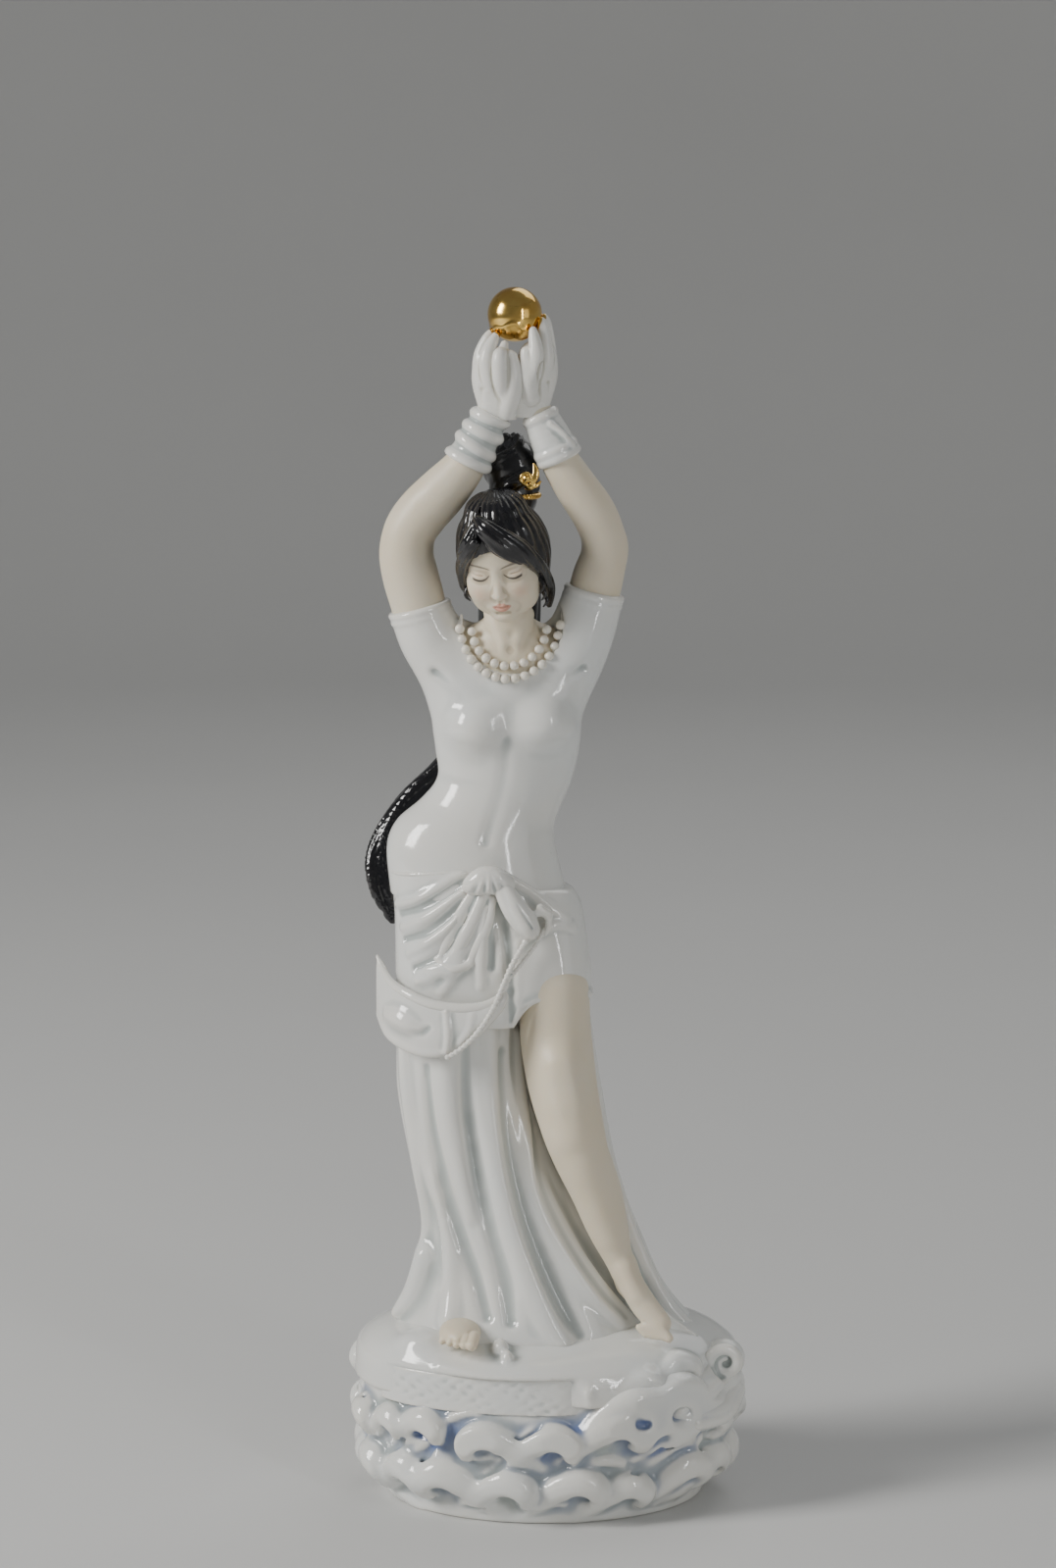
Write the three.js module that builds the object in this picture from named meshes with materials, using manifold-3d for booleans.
// Porcelain figurine of a dancer holding a gilded ball overhead on a wave-shaped base.
// Millimetres, +Z up, the dancer faces -Y. The origin is on the underside of the base, at its centre.
// Left and right are the dancer's own: the right arm is on the -X side.
import * as THREE from "three";
import { LoftGeometry } from "three/addons/geometries/LoftGeometry.js";
import { mergeVertices } from "three/addons/utils/BufferGeometryUtils.js";
import Module from "manifold-3d";

// Driving dimensions
const GAP = 0.3; // slip joint between neighbouring castings
const WALL = 4; // thickness of a slip-cast wall
const BASE_TOP = 38; // where the wave ring ends and the rock slab begins
const FLOOR_PLATE = 5; // thickness of the base's closed underside
const VENT_RADIUS = 8; // firing vent in the underside
const VENT_OFFSET = 20; // the vent's distance from the middle
const THROAT_RADIUS = 9; // hole in the slab that joins the hollow of the base to the hollow of the skirt
const BALL_RADIUS = 8.2;
const BEAD_RADIUS = 1.45;
const HEAD = { at: [-12.6, -9.5, 292.4], size: [11.6, 13.2, 16.2], pitch: 0.36, yaw: -0.2, roll: -0.1 };

const SIDES = 20; // points round a large casting
const LIMB_SIDES = 12; // points round an arm or a leg

const wasm = await Module();
wasm.setup();

// ---------- solids ----------

function solid(geometry) {
  const bare = new THREE.BufferGeometry().copy(geometry);
  bare.deleteAttribute("normal");
  bare.deleteAttribute("uv");
  const merged = mergeVertices(bare, 1e-4);
  return new wasm.Manifold(
    new wasm.Mesh({
      numProp: 3,
      vertProperties: new Float32Array(merged.attributes.position.array),
      triVerts: new Uint32Array(merged.index.array),
    }),
  );
}

const join = (first, ...others) => others.reduce((whole, piece) => whole.add(piece), first);
const cut = (first, ...others) => others.reduce((whole, piece) => whole.subtract(piece), first);

function largest(body) {
  const pieces = body.decompose();
  return pieces.reduce((best, piece) => (piece.volume() > best.volume() ? piece : best));
}

function part(name, finish, body) {
  const { vertProperties, triVerts } = largest(body).getMesh();
  const geometry = new THREE.BufferGeometry()
    .setAttribute("position", new THREE.BufferAttribute(vertProperties, 3))
    .setIndex(new THREE.BufferAttribute(triVerts, 1));
  geometry.computeVertexNormals();
  const mesh = new THREE.Mesh(geometry, finish);
  mesh.name = name;
  return mesh;
}

// Smooth values along a list of stations, all of the same length.
function along(stations, t) {
  const last = stations.length - 1;
  const at = Math.min(last - 1e-9, t * last);
  const i = Math.floor(at);
  const f = at - i;
  const [a, b, c, d] = [i - 1, i, i + 1, i + 2].map((k) => stations[THREE.MathUtils.clamp(k, 0, last)]);
  return b.map((_, k) => {
    const rise = (c[k] - a[k]) / 2;
    const next = (d[k] - b[k]) / 2;
    const h = f * f * f;
    const g = f * f;
    return (2 * h - 3 * g + 1) * b[k] + (h - 2 * g + f) * rise + (3 * g - 2 * h) * c[k] + (h - g) * next;
  });
}

// A casting skinned over level oval rings. Each station is [x, y, z, half width, half depth].
// grow swells it for cutting its neighbours, slope tips the rings to the side, relief(angle, t) adds folds.
function casting(stations, options = {}) {
  const { rings = 10, sides = SIDES, grow = 0, reach = 0, slope = 0, relief = null } = options;
  const sections = [];
  for (let i = 0; i <= rings; i++) {
    const t = i / rings;
    const [x, y, z, rx, ry] = along(stations, t);
    const lift = i === 0 ? -reach : i === rings ? reach : 0;
    sections.push(
      Array.from({ length: sides }, (_, k) => {
        const angle = (k / sides) * 2 * Math.PI;
        const fold = relief ? relief(angle, t) : 0;
        const dx = (rx + grow + fold) * Math.cos(angle);
        const dy = (ry + grow + fold) * Math.sin(angle);
        return new THREE.Vector3(x + dx, y + dy, z + lift + slope * dx);
      }),
    );
  }
  return solid(new LoftGeometry(sections, { capStart: true, capEnd: true }));
}

// A round-ended tube along a path that stays mostly in the XZ plane.
// Each station is [x, y, z, radius in that plane, radius in depth].
function limb(stations, { rings = 10, sides = LIMB_SIDES, grow = 0, capRings = 2 } = {}) {
  const rows = Array.from({ length: rings + 1 }, (_, i) => along(stations, i / rings));
  const points = rows.map(([x, y, z]) => new THREE.Vector3(x, y, z));
  const depth = new THREE.Vector3(0, 1, 0);
  const sections = [];
  const ring = (i, push, shrink) => {
    const before = points[Math.max(0, i - 1)];
    const after = points[Math.min(rings, i + 1)];
    const tangent = after.clone().sub(before).normalize();
    const v = depth.clone().addScaledVector(tangent, -tangent.dot(depth)).normalize();
    const u = v.clone().cross(tangent);
    const [ru, rv = ru] = [rows[i][3] + grow, (rows[i][4] ?? rows[i][3]) + grow];
    const centre = points[i].clone().addScaledVector(tangent, push * Math.min(ru, rv));
    sections.push(
      Array.from({ length: sides }, (_, k) => {
        const angle = (k / sides) * 2 * Math.PI;
        return centre
          .clone()
          .addScaledVector(u, ru * shrink * Math.cos(angle))
          .addScaledVector(v, rv * shrink * Math.sin(angle));
      }),
    );
  };
  for (let k = capRings; k > 0; k--) {
    const turn = (k / (capRings + 0.35)) * (Math.PI / 2);
    ring(0, -Math.sin(turn), Math.cos(turn));
  }
  for (let i = 0; i <= rings; i++) ring(i, 0, 1);
  for (let k = 1; k <= capRings; k++) {
    const turn = (k / (capRings + 0.35)) * (Math.PI / 2);
    ring(rings, Math.sin(turn), Math.cos(turn));
  }
  return solid(new LoftGeometry(sections, { capStart: true, capEnd: true }));
}

function egg([x, y, z], [rx, ry, rz], { grow = 0, detail = [12, 8], pitch = 0, yaw = 0, roll = 0 } = {}) {
  const geometry = new THREE.SphereGeometry(1, ...detail)
    .rotateX(Math.PI / 2)
    .scale(rx + grow, ry + grow, rz + grow)
    .rotateX(pitch)
    .rotateY(roll)
    .rotateZ(yaw)
    .translate(x, y, z);
  return solid(geometry);
}

function box([x0, y0, z0], [x1, y1, z1]) {
  return solid(
    new THREE.BoxGeometry(x1 - x0, y1 - y0, z1 - z0).translate((x0 + x1) / 2, (y0 + y1) / 2, (z0 + z1) / 2),
  );
}

function uprightBore(radius, x, z, halfLength) {
  return solid(
    new THREE.CylinderGeometry(radius, radius, 2 * halfLength, 20).rotateX(Math.PI / 2).translate(x, 0, z),
  );
}

// ---------- finishes ----------

const finish = (color, roughness, metalness = 0) =>
  new THREE.MeshStandardMaterial({ color, roughness, metalness });
const whiteGlaze = finish(0xe6e6e2, 0.12);
const blueGlaze = finish(0xd5dae2, 0.14);
const bisqueSkin = finish(0xdcd6c6, 0.5);
const blackGlaze = finish(0x08080a, 0.08);
const gilding = finish(0xc79a35, 0.18, 1);
const beadGlaze = finish(0xe0dccb, 0.25);

// ---------- base ----------

const waveRings = [
  [0, 0, 0, 50, 38],
  [0, 0, 7, 54, 40.5],
  [0, 0, 15, 57, 42],
  [0, 0, 26, 59.5, 43],
  [0, 0, BASE_TOP, 59.5, 42.5],
];
// Two rows of rolling curls round the ring, each curl leaning the way the water runs.
const CURL_ROWS = [
  { height: 0.3, half: 0.2, count: 15, turn: 0.2, depth: 5.2 },
  { height: 0.72, half: 0.22, count: 15, turn: 0.41, depth: 5.6 },
];
const curlRelief = (angle, t) =>
  CURL_ROWS.reduce((sum, { height, half, count, turn, depth }) => {
    const rise = Math.max(0, 1 - ((t - height) / half) ** 2);
    return sum + depth * rise * Math.abs(Math.sin((count / 2) * (angle + turn + t))) - (depth / 2) * rise;
  }, 0);

// Two large curls that roll out of the ring at the front, on the left.
const frontCrests = (grow = 0) =>
  join(
    egg([38, -33, 40.5], [9, 6.5, 6.5], { grow, yaw: 0.5 }),
    egg([27, -38, 33], [10, 5.5, 6.5], { grow, yaw: 0.3 }),
  );

function waveBase() {
  const ring = casting(waveRings, { rings: 8, sides: 45, relief: curlRelief });
  const cavity = casting(
    waveRings.map(([x, y, z, rx, ry]) => [x, y, z + FLOOR_PLATE, rx - WALL - 3, ry - WALL - 3]),
    { rings: 4, sides: 20 },
  );
  return cut(join(ring, frontCrests()), cavity, uprightBore(VENT_RADIUS, VENT_OFFSET, 0, 2 * FLOOR_PLATE));
}

const slabRings = [
  [0, 0, BASE_TOP + GAP, 60, 42.5],
  [0, 0, 45, 59.5, 42],
  [-1, 0, 50, 56.5, 38.5],
  [-1, 1, 54, 50, 31],
  [0, 2, 56.5, 41, 22],
];
const slabSolid = (grow = 0) => casting(slabRings, { rings: 4, sides: 26, grow, reach: grow });

const panelRings = (grow) =>
  casting(
    [
      [0, 0, 34, 58.5, 44],
      [0, 0, 47.5, 60.5, 43.6],
    ],
    { rings: 1, sides: 32, grow, reach: grow },
  );
// A strip of rock face across the front and the right-hand side, under the slab's rim.
const panelWindow = (grow) => box([-50 - grow, -60, 35.5 - grow], [12 + grow, -20, 46.5 + grow]);
const panelSolid = (grow = 0) => panelRings(grow).intersect(panelWindow(grow));

const cornerCrest = (grow = 0) =>
  limb(
    [
      [46, -20, 40, 6, 6],
      [53, -14, 45, 6.5, 6],
      [57.5, -9, 41.5, 5.6, 5.5],
      [54, -11, 35, 4, 4.5],
    ],
    { rings: 7, sides: 10, grow },
  );

// ---------- lower body ----------

const skirtRings = [
  [-7, -1, 50, 41, 31],
  [-6.6, -2, 58, 37.5, 27],
  [-7, -3, 66, 32.5, 23],
  [-9, -3, 75, 27.8, 20],
  [-13, -3, 88, 24, 18.5],
  [-18, -3, 101, 22.6, 17.5],
  [-22, -2.5, 114, 21.6, 17],
  [-25.5, -2, 128, 20.6, 16.5],
  [-27, -2, 140, 19.6, 16.2],
  [-27, -2, 152, 19.6, 16],
];
const foldRelief = (angle, t) => (1.5 - t) * 1.1 * Math.sin(9 * angle + 5 * t);
const skirtSolid = (grow = 0) => casting(skirtRings, { rings: 10, sides: 32, grow, relief: foldRelief });
const skirtCavity = () => casting(skirtRings, { rings: 5, sides: 14, grow: -WALL - 1, reach: 3 });

const trainRings = [
  [34, -1, 43, 22, 13],
  [29, 2, 52, 18.5, 11],
  [22, 3, 66, 14.5, 9],
  [17, 3, 80, 13, 8.5],
  [10, 3, 100, 12.5, 8.5],
  [6, 3, 120, 13, 8.5],
  [2, 2, 140, 13.2, 8.5],
  [0, 2, 150, 13.2, 8.5],
];
const trainSolid = (grow = 0) => casting(trainRings, { rings: 8, sides: 14, grow });

const legPath = [
  [3, -10, 158, 10.4],
  [3.2, -11.5, 148, 11],
  [4.2, -13.5, 138, 11.3],
  [5.6, -15, 129, 11.2],
  [8.2, -17, 118, 10.6],
  [11, -18, 109, 9.4],
  [14.4, -17.5, 100, 8.3],
  [18.3, -17, 89, 7],
  [21.9, -17.5, 80, 5],
  [24.2, -18, 75, 4],
];

const leftFootPath = [
  [25.6, -18.6, 72.5, 3.9, 3.8],
  [29.5, -20.5, 65.5, 4.4, 4.2],
  [34, -23, 59.5, 4.2, 4.6],
  [38, -25.5, 56, 2.8, 4.2],
];
const leftLeg = (grow = 0) =>
  join(limb(legPath, { rings: 10, grow }), limb(leftFootPath, { rings: 4, sides: 8, grow }));

const rightFoot = (grow = 0) => {
  const sole = egg([-25, -28, 57.6], [8, 9, 4.6], { grow, yaw: -0.5 });
  const toes = Array.from({ length: 5 }, (_, k) => {
    const size = k === 0 ? 2.3 : 1.9 - 0.12 * k;
    const centre = [-22.4 - 2.7 * k, -36.4 + 0.25 * k * k, 56.8];
    return egg(centre, [size, size * 1.4, size], { detail: [6, 5], grow });
  });
  return join(sole, ...toes);
};

// ---------- hips ----------

const SASH_SLOPE = -0.15; // the sash falls from the raised right hip to the left
const hipRings = [
  [-15.6, -1, 150, 29.3, 18],
  [-15.8, -1.5, 160, 28.3, 18.4],
  [-16.8, -2, 172, 27, 18.6],
  [-18.2, -2, 184, 26.5, 18],
  [-20.2, -1.5, 193, 26.7, 17.2],
];
const hipSolid = (grow = 0) =>
  casting(hipRings, { rings: 6, grow, reach: grow, slope: SASH_SLOPE / 2 });
const hipCavity = () =>
  casting(hipRings, { rings: 4, sides: 16, grow: -WALL - 1, reach: 3, slope: SASH_SLOPE / 2 });

const sashSolid = (grow = 0) =>
  casting(
    [
      [-19.8, -1.6, 188.3, 29.2, 19.8],
      [-20.4, -1.6, 192.4, 29.9, 20.4],
      [-20.8, -1.6, 196.5, 29, 19.6],
    ],
    { rings: 2, grow, reach: grow, slope: SASH_SLOPE },
  );
const sashLining = () =>
  casting(
    [
      [-18.4, -1.7, 182, 27.5, 19],
      [-20.5, -1.6, 193, 28, 18.4],
      [-22.2, -1.2, 204, 27.2, 17.6],
    ],
    { rings: 3, slope: SASH_SLOPE },
  );

const knotSolid = (grow = 0) => egg([-17.6, -22, 195.4], [6.6, 4, 4.6], { grow });
const loopSolid = (grow = 0) =>
  limb(
    [
      [-12, -21.5, 193.5, 3.2, 2.8],
      [-8, -22, 187.5, 3.8, 3.2],
      [-5, -21.5, 182, 3.2, 2.8],
    ],
    { rings: 4, sides: 10, grow },
  );
const tailEnd = (side, grow) =>
  limb(
    [
      [-18 - side, -21.6, 191, 2.2, 1.8],
      [-19.5 - 2 * side, -22.2, 182, 3.2, 1.7],
      [-21 - 3.4 * side, -22.2, 171, 4, 1.5],
    ],
    { rings: 4, sides: 8, grow },
  );
const sashTails = (grow = 0) => join(tailEnd(1.6, grow), tailEnd(-1.2, grow));

const netRimPath = [
  [-50.6, -3, 166],
  [-46.5, -12, 163],
  [-38, -19.5, 160],
  [-28, -23.4, 158.4],
  [-18.5, -23.8, 158.6],
  [-12.5, -22.5, 161.5],
];
const netBodyPath = [
  [-50.2, -2, 157.5, 7.2, 2.2],
  [-46.5, -11.5, 154.5, 8, 2.6],
  [-38, -19, 151.3, 8.3, 2.6],
  [-28, -22.6, 150.2, 7.4, 2.6],
  [-19.5, -23, 153, 5, 2.3],
  [-14, -22.2, 157.5, 2.4, 1.8],
];
const beadCordPath = [
  [1.6, -19.6, 187.5],
  [-5, -21.6, 179.5],
  [-10.6, -23, 170],
  [-14.6, -25, 159.5],
  [-20, -26, 151],
  [-29, -25.4, 143.6],
];
const evenly = (path, radius) => path.map((point) => [...point, radius, radius]);
const netRim = (grow = 0) => limb(evenly(netRimPath, 1.6), { rings: 10, sides: 8, grow });
const netBody = (grow = 0) => limb(netBodyPath, { rings: 10, sides: 12, grow });
const beadCord = (grow = 0) => limb(evenly(beadCordPath, 0.9), { rings: 12, sides: 6, grow });

// ---------- upper body ----------

const torsoRings = [
  [-21.2, -1.5, 194, 26.6, 16.8],
  [-22.4, -1, 203, 25.7, 16],
  [-21.4, 0, 210.5, 23.7, 15],
  [-16.5, 0.5, 217.5, 21, 13.6],
  [-12.6, 0.5, 224.5, 20, 13],
  [-11.8, 0, 233, 21.4, 13.6],
  [-11.8, -0.5, 241, 22.4, 14.4],
  [-11.9, 0, 249, 22.9, 14],
  [-11, 0.5, 257, 23.4, 13],
  [-10.6, 1, 265, 22, 11.5],
  [-10.4, 1, 271, 14, 9],
];
const neckPath = [
  [-10.6, 0, 262, 8.6, 8.4],
  [-10.8, -1, 268, 7.8, 7.6],
  [-11, -3, 274, 7.3, 7.4],
  [-11.4, -5, 280, 7.2, 7.4],
];
const rightSleevePath = [
  [-29, 0.5, 259, 10, 10],
  [-33.5, 0, 267, 9.9, 9.8],
  [-38, 0, 277, 9.5, 9.4],
];
const leftSleevePath = [
  [6.5, 0.5, 259, 10, 10],
  [10.5, 0, 269, 9.8, 9.6],
  [14.9, 0, 283, 9.1, 9.1],
];
const bust = (x, grow) => egg([x, -9, 241.5], [8.6, 7.6, 7.8], { grow });

const bodySolid = (grow = 0) =>
  join(
    casting(torsoRings, { rings: 11, slope: SASH_SLOPE / 3, grow, reach: grow }),
    limb(neckPath, { rings: 4, capRings: 1, grow }),
    limb(rightSleevePath, { rings: 3, grow }),
    limb(leftSleevePath, { rings: 3, grow }),
    bust(-22, grow),
    bust(-1.6, grow),
  );
const torsoCavity = () =>
  casting(
    torsoRings.map(([x, y, z, rx, ry]) => [x, y, z - 6, rx - WALL - 1, ry - WALL]),
    { rings: 5, sides: 12 },
  );
// The space inside the neckline: everything of the body within it is bare skin.
const neckline = (grow = 0) => egg([-10.2, -6, 272.5], [15.4, 15, 15.6], { detail: [14, 9], grow });

const rightArmPath = [
  [-37.6, 0, 275.5, 8.2],
  [-40.4, -0.5, 284.5, 8.5],
  [-42, -1.2, 292, 8.3],
  [-41.4, -2, 299.5, 8],
  [-37.6, -3, 306, 8],
  [-31.2, -4.5, 312.6, 7.7],
  [-24.6, -6, 320.4, 6.3],
  [-19.6, -6.5, 328.6, 4.9],
  [-16.2, -6.5, 337, 4.2],
];
const leftArmPath = [
  [14.7, 0, 281, 8],
  [16.4, -0.5, 288, 7.7],
  [17.9, -1, 294, 6.9],
  [17.4, -2, 300, 6.6],
  [14.2, -3.5, 307, 6.8],
  [9.4, -5, 314.2, 6.5],
  [4.4, -6, 322.2, 5.8],
  [0.5, -6.5, 330, 4.8],
  [-2.2, -6.5, 337, 4.2],
];
const armSolid = (path, grow = 0) => limb(path, { rings: 10, grow });
const rightCuffPath = [
  [-23.6, -6.2, 322.2, 6.6, 6.4],
  [-19.8, -6.4, 328.6, 6.3, 6],
  [-17.2, -6.5, 334.6, 5.8, 5.6],
];
const leftCuffPath = [
  [3.4, -6.1, 324.4, 6.5, 6.2],
  [0.8, -6.4, 330, 6.1, 5.8],
  [-1.6, -6.5, 335.4, 5.6, 5.4],
];
const cuffSolid = (path, grow = 0) => limb(path, { rings: 5, capRings: 1, grow });

// A hand raised round the ball: the palm, four fingers and a thumb. side is -1 on the dancer's right.
const MIDLINE = -9.2;
const hand = (side, lift, grow = 0) => {
  const at = (x, y, z, ...radii) => [MIDLINE + side * x, y, z + lift, ...radii];
  const palm = limb(
    [at(7, -6.5, 339.5, 3.9, 3.8), at(8.2, -6.5, 345, 4.9, 5), at(9, -6.5, 351, 4.2, 5.8)],
    { rings: 3, sides: 10, grow },
  );
  const fingers = [-10.8, -7.8, -4.8, -1.9].map((y, k) =>
    limb([at(9.4, y, 350, 2), at(10.6, y, 356.5, 1.75), at(9.9, y * 0.95, 361 - Math.abs(k - 1.4), 1.4)], {
      rings: 2,
      sides: 5,
      capRings: 1,
      grow,
    }),
  );
  const thumb = limb([at(6, -10, 344.5, 2.3), at(3.8, -12.6, 350, 2.1), at(3.4, -13.2, 355.4, 1.6)], {
    rings: 2,
    sides: 5,
    capRings: 1,
    grow,
  });
  return join(palm, thumb, ...fingers);
};

const ball = (grow = 0) =>
  egg([MIDLINE, -6, 366.2], [BALL_RADIUS, BALL_RADIUS, BALL_RADIUS], { detail: [16, 10], grow });

// ---------- head and hair ----------

// Places a lump in the head's own tipped frame.
function onHead([x, y, z]) {
  return new THREE.Vector3(x, y, z)
    .applyAxisAngle(new THREE.Vector3(1, 0, 0), HEAD.pitch)
    .applyAxisAngle(new THREE.Vector3(0, 1, 0), HEAD.roll)
    .applyAxisAngle(new THREE.Vector3(0, 0, 1), HEAD.yaw)
    .add(new THREE.Vector3(...HEAD.at))
    .toArray();
}
const headTurn = { pitch: HEAD.pitch, yaw: HEAD.yaw, roll: HEAD.roll };

const headSolid = (grow = 0) =>
  join(
    egg(HEAD.at, HEAD.size, { detail: [16, 10], grow, ...headTurn }),
    egg(onHead([0, -12.4, -4.5]), [1.9, 2.2, 3.2], { detail: [6, 5], grow, ...headTurn }),
    egg(onHead([0, -7.6, -13]), [5.2, 4.6, 4], { detail: [8, 5], grow, ...headTurn }),
    egg(onHead([-11.3, 1, -3]), [1.4, 2.4, 4], { detail: [6, 5], grow, ...headTurn }),
    egg(onHead([11.3, 1, -3]), [1.4, 2.4, 4], { detail: [6, 5], grow, ...headTurn }),
  );
const headCavity = () =>
  join(
    egg(HEAD.at, HEAD.size.map((r) => r - WALL), { detail: [8, 6], ...headTurn }),
    limb([[-11.4, -5, 270, 3], [-12, -7, 290, 3]], { rings: 2, sides: 10 }),
  );
// The open front of the hair, from the hairline to the jaw.
const faceWindow = () => egg(onHead([0, -14, -5]), [11.6, 13, 15.2], { detail: [14, 8], ...headTurn });
const hairCap = (grow = 0) =>
  egg(onHead([0, 2, 2]), [14.2, 14.2, 16.4], { detail: [16, 10], grow, ...headTurn });
const hairFringe = (grow = 0) =>
  limb(
    [
      [-17.5, -21.4, 303.4, 1.6, 1.6],
      [-12, -21, 306.4, 3.4, 2.6],
      [-5.5, -18.6, 303.8, 4.2, 2.8],
      [-0.6, -14.6, 298.6, 3, 2.6],
      [1.6, -9.4, 293, 1.8, 1.8],
    ],
    { rings: 8, sides: 10, grow },
  );
const hairBand = (grow = 0) =>
  casting(
    [
      [-10.4, 0.5, 309.6, 8.4, 8.4],
      [-10.2, 1, 311.4, 9, 9],
      [-10, 1.4, 313.2, 8.4, 8.4],
    ],
    { rings: 2, sides: 18, grow, reach: grow },
  );
const hairBun = (grow = 0) => egg([-9.8, 2.2, 320.2], [7.8, 7.8, 9.4], { detail: [14, 9], grow });
const combSolid = () =>
  limb(
    [
      [-3.6, -5.4, 314, 1.6, 1.2],
      [-2.8, -6.8, 318, 2.6, 1.2],
      [-3.6, -5.6, 322, 1.4, 1.1],
    ],
    { rings: 4, sides: 8 },
  );
const tressPath = [
  [-11, 8, 299, 11, 8],
  [-11, 13, 286, 13, 8],
  [-11, 17.6, 270, 13.5, 6.5],
  [-12, 20.5, 252, 12, 6.2],
  [-18, 19.5, 235, 10, 6],
  [-30, 18.5, 222, 8.2, 5.6],
  [-42, 16, 212, 6.6, 5.2],
  [-49.4, 12.5, 201, 5.4, 4.8],
  [-50, 9.5, 190, 4.2, 4],
  [-46.8, 8, 180.5, 2.6, 2.6],
];
const tressSolid = (grow = 0) => limb(tressPath, { rings: 12, grow });

// ---------- beads ----------

// The oval of a casting at this height.
function ovalAt(stations, z) {
  let [low, high] = [0, 1];
  for (let i = 0; i < 20; i++) {
    const middle = (low + high) / 2;
    if (along(stations, middle)[2] < z) low = middle;
    else high = middle;
  }
  return along(stations, low);
}

const ON_SHOULDER = -7.4; // how far forward a bead lies where the strand passes a shoulder

// Even places along a strand that hangs on the chest, from its right end round to its left.
function strand({ middle, half, top, drop, lean }, count) {
  return Array.from({ length: count }, (_, k) => {
    const turn = Math.PI * (0.04 + (0.92 * k) / (count - 1));
    const x = middle - half * Math.cos(turn);
    const z = top - drop * Math.sin(turn) - lean * Math.cos(turn);
    const clear = 0.8 * BEAD_RADIUS;
    const [cx, cy, , rx, ry] = ovalAt(torsoRings, z);
    const onChest = cy - (ry + clear) * Math.sqrt(Math.max(0.02, 1 - ((x - cx) / (rx + clear)) ** 2));
    return [x, Math.min(onChest, ON_SHOULDER), z];
  });
}
const innerStrand = { middle: -10.9, half: 11.4, top: 272.6, drop: 11.6, lean: 0.3 };
const outerStrand = { middle: -10.6, half: 15.4, top: 274.4, drop: 17.2, lean: 0.6 };
const bead = (place) => egg(place, [BEAD_RADIUS, BEAD_RADIUS, BEAD_RADIUS], { detail: [6, 5] });

// ---------- assembly ----------

const figurine = new THREE.Group();
const add = (name, finishUsed, body) => figurine.add(part(name, finishUsed, body));

const body = bodySolid();
const grownBody = bodySolid(GAP);

const waves = waveBase();
add("wave_base", blueGlaze, cut(waves, cornerCrest(GAP), panelSolid(GAP)));
const throat = uprightBore(THROAT_RADIUS, -7, BASE_TOP, BASE_TOP);
add("rock_slab", whiteGlaze, cut(slabSolid(), cornerCrest(GAP), frontCrests(GAP), panelSolid(GAP), throat));
add("front_panel", whiteGlaze, cut(panelSolid(), waves));
add("corner_crest", blueGlaze, cut(cornerCrest(), frontCrests(GAP)));

const slabAndHip = [slabSolid(GAP), hipSolid(GAP)];
add("skirt", whiteGlaze, cut(skirtSolid(), skirtCavity(), leftLeg(GAP), rightFoot(GAP), ...slabAndHip));
const skirtSide = [skirtSolid(GAP), leftLeg(GAP), cornerCrest(GAP)];
add("skirt_train", whiteGlaze, cut(trainSolid(), ...skirtSide, ...slabAndHip));
add("left_leg", bisqueSkin, cut(leftLeg(), ...slabAndHip));
add("right_foot", bisqueSkin, cut(rightFoot(), slabSolid(GAP)));

add("hip_wrap", whiteGlaze, cut(hipSolid(), hipCavity(), grownBody));
add("sash_band", whiteGlaze, cut(sashSolid(), sashLining()));
add("sash_knot", whiteGlaze, cut(knotSolid(), hipSolid(GAP), grownBody, sashSolid(GAP)));
add("sash_loop", whiteGlaze, cut(loopSolid(), hipSolid(GAP), knotSolid(GAP), sashSolid(GAP)));
const sashTop = [hipSolid(GAP), knotSolid(GAP), sashSolid(GAP), loopSolid(GAP)];
add("sash_tails", whiteGlaze, cut(sashTails(), ...sashTop));
add("net_pouch", whiteGlaze, cut(netBody(), hipSolid(GAP), skirtSolid(GAP), netRim(GAP)));
add("net_rim", whiteGlaze, cut(netRim(), hipSolid(GAP), sashTails(GAP)));
add("bead_cord", whiteGlaze, cut(beadCord(), netRim(GAP), netBody(GAP), ...sashTop));

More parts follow.
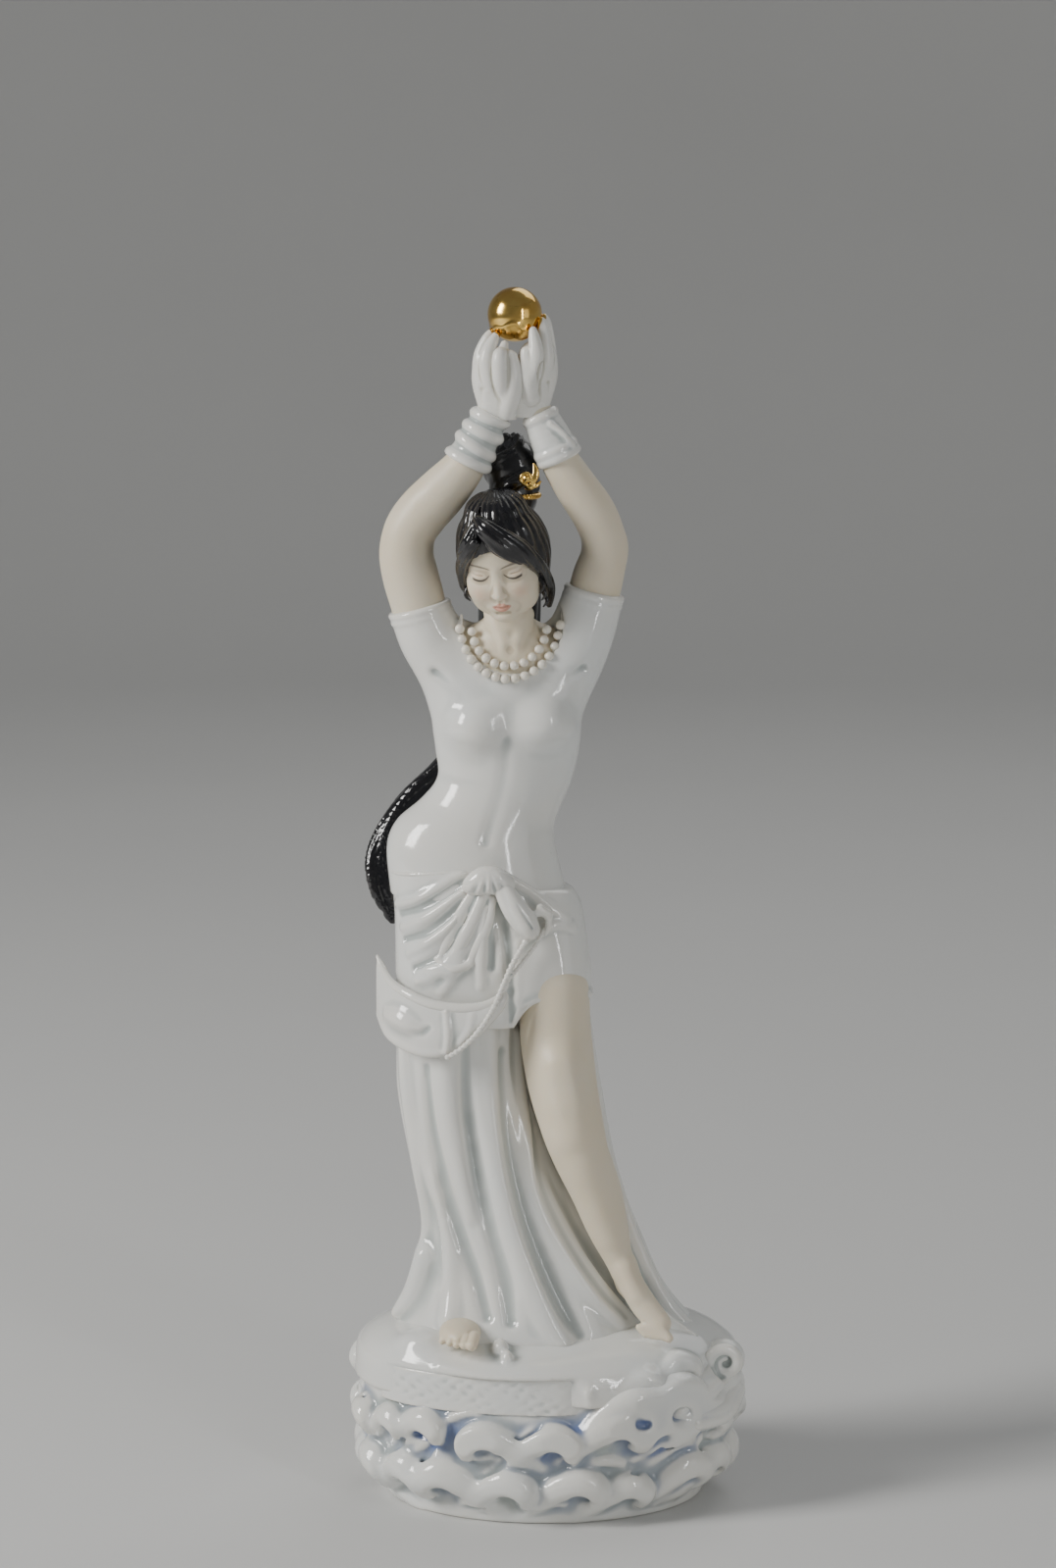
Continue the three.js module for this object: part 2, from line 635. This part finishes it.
add("bodice", whiteGlaze, cut(body, torsoCavity(), neckline(GAP)));
add("neck", bisqueSkin, cut(body.intersect(neckline()), torsoCavity(), headSolid(GAP)));
const rightArm = armSolid(rightArmPath);
const leftArm = armSolid(leftArmPath);
const grownArms = [armSolid(rightArmPath, GAP), armSolid(leftArmPath, GAP)];
add("right_arm", bisqueSkin, cut(rightArm, grownBody));
add("left_arm", bisqueSkin, cut(leftArm, grownBody, grownArms[0]));
const rightCuff = cuffSolid(rightCuffPath);
const leftCuff = cuffSolid(leftCuffPath);
add("right_cuff", whiteGlaze, cut(rightCuff, ...grownArms));
add("left_cuff", whiteGlaze, cut(leftCuff, ...grownArms, cuffSolid(rightCuffPath, GAP)));
const grownWrists = [...grownArms, cuffSolid(rightCuffPath, GAP), cuffSolid(leftCuffPath, GAP)];
add("right_hand", whiteGlaze, cut(hand(-1, 0), ...grownWrists, ball(GAP)));
add("left_hand", whiteGlaze, cut(hand(1, 2), ...grownWrists, ball(GAP), hand(-1, 0, GAP)));
add("gilded_ball", gilding, ball());

add("head", bisqueSkin, cut(headSolid(), headCavity()));
add("hair_cap", blackGlaze, cut(hairCap(), headSolid(GAP), faceWindow(), grownBody));
add("hair_fringe", blackGlaze, cut(hairFringe(), headSolid(GAP), hairCap(GAP)));
add("hair_band", gilding, cut(hairBand(), hairCap(GAP)));
add("hair_bun", blackGlaze, cut(hairBun(), hairCap(GAP), hairBand(GAP), ...grownWrists));
add("hair_comb", gilding, cut(combSolid(), hairBun(GAP), hairBand(GAP), hairCap(GAP), ...grownWrists));
const behind = [hairCap(GAP), headSolid(GAP), grownBody, hipSolid(GAP), sashSolid(GAP)];
add("hair_tress", blackGlaze, cut(tressSolid(), ...behind));

const beadRows = { inner: strand(innerStrand, 12), outer: strand(outerStrand, 16) };
for (const [row, spots] of Object.entries(beadRows)) {
  spots.forEach((spot, k) => {
    const name = `${row}_bead_${String(k + 1).padStart(2, "0")}`;
    add(name, beadGlaze, cut(bead(spot), grownBody, hairCap(GAP), tressSolid(GAP)));
  });
}

export default figurine;
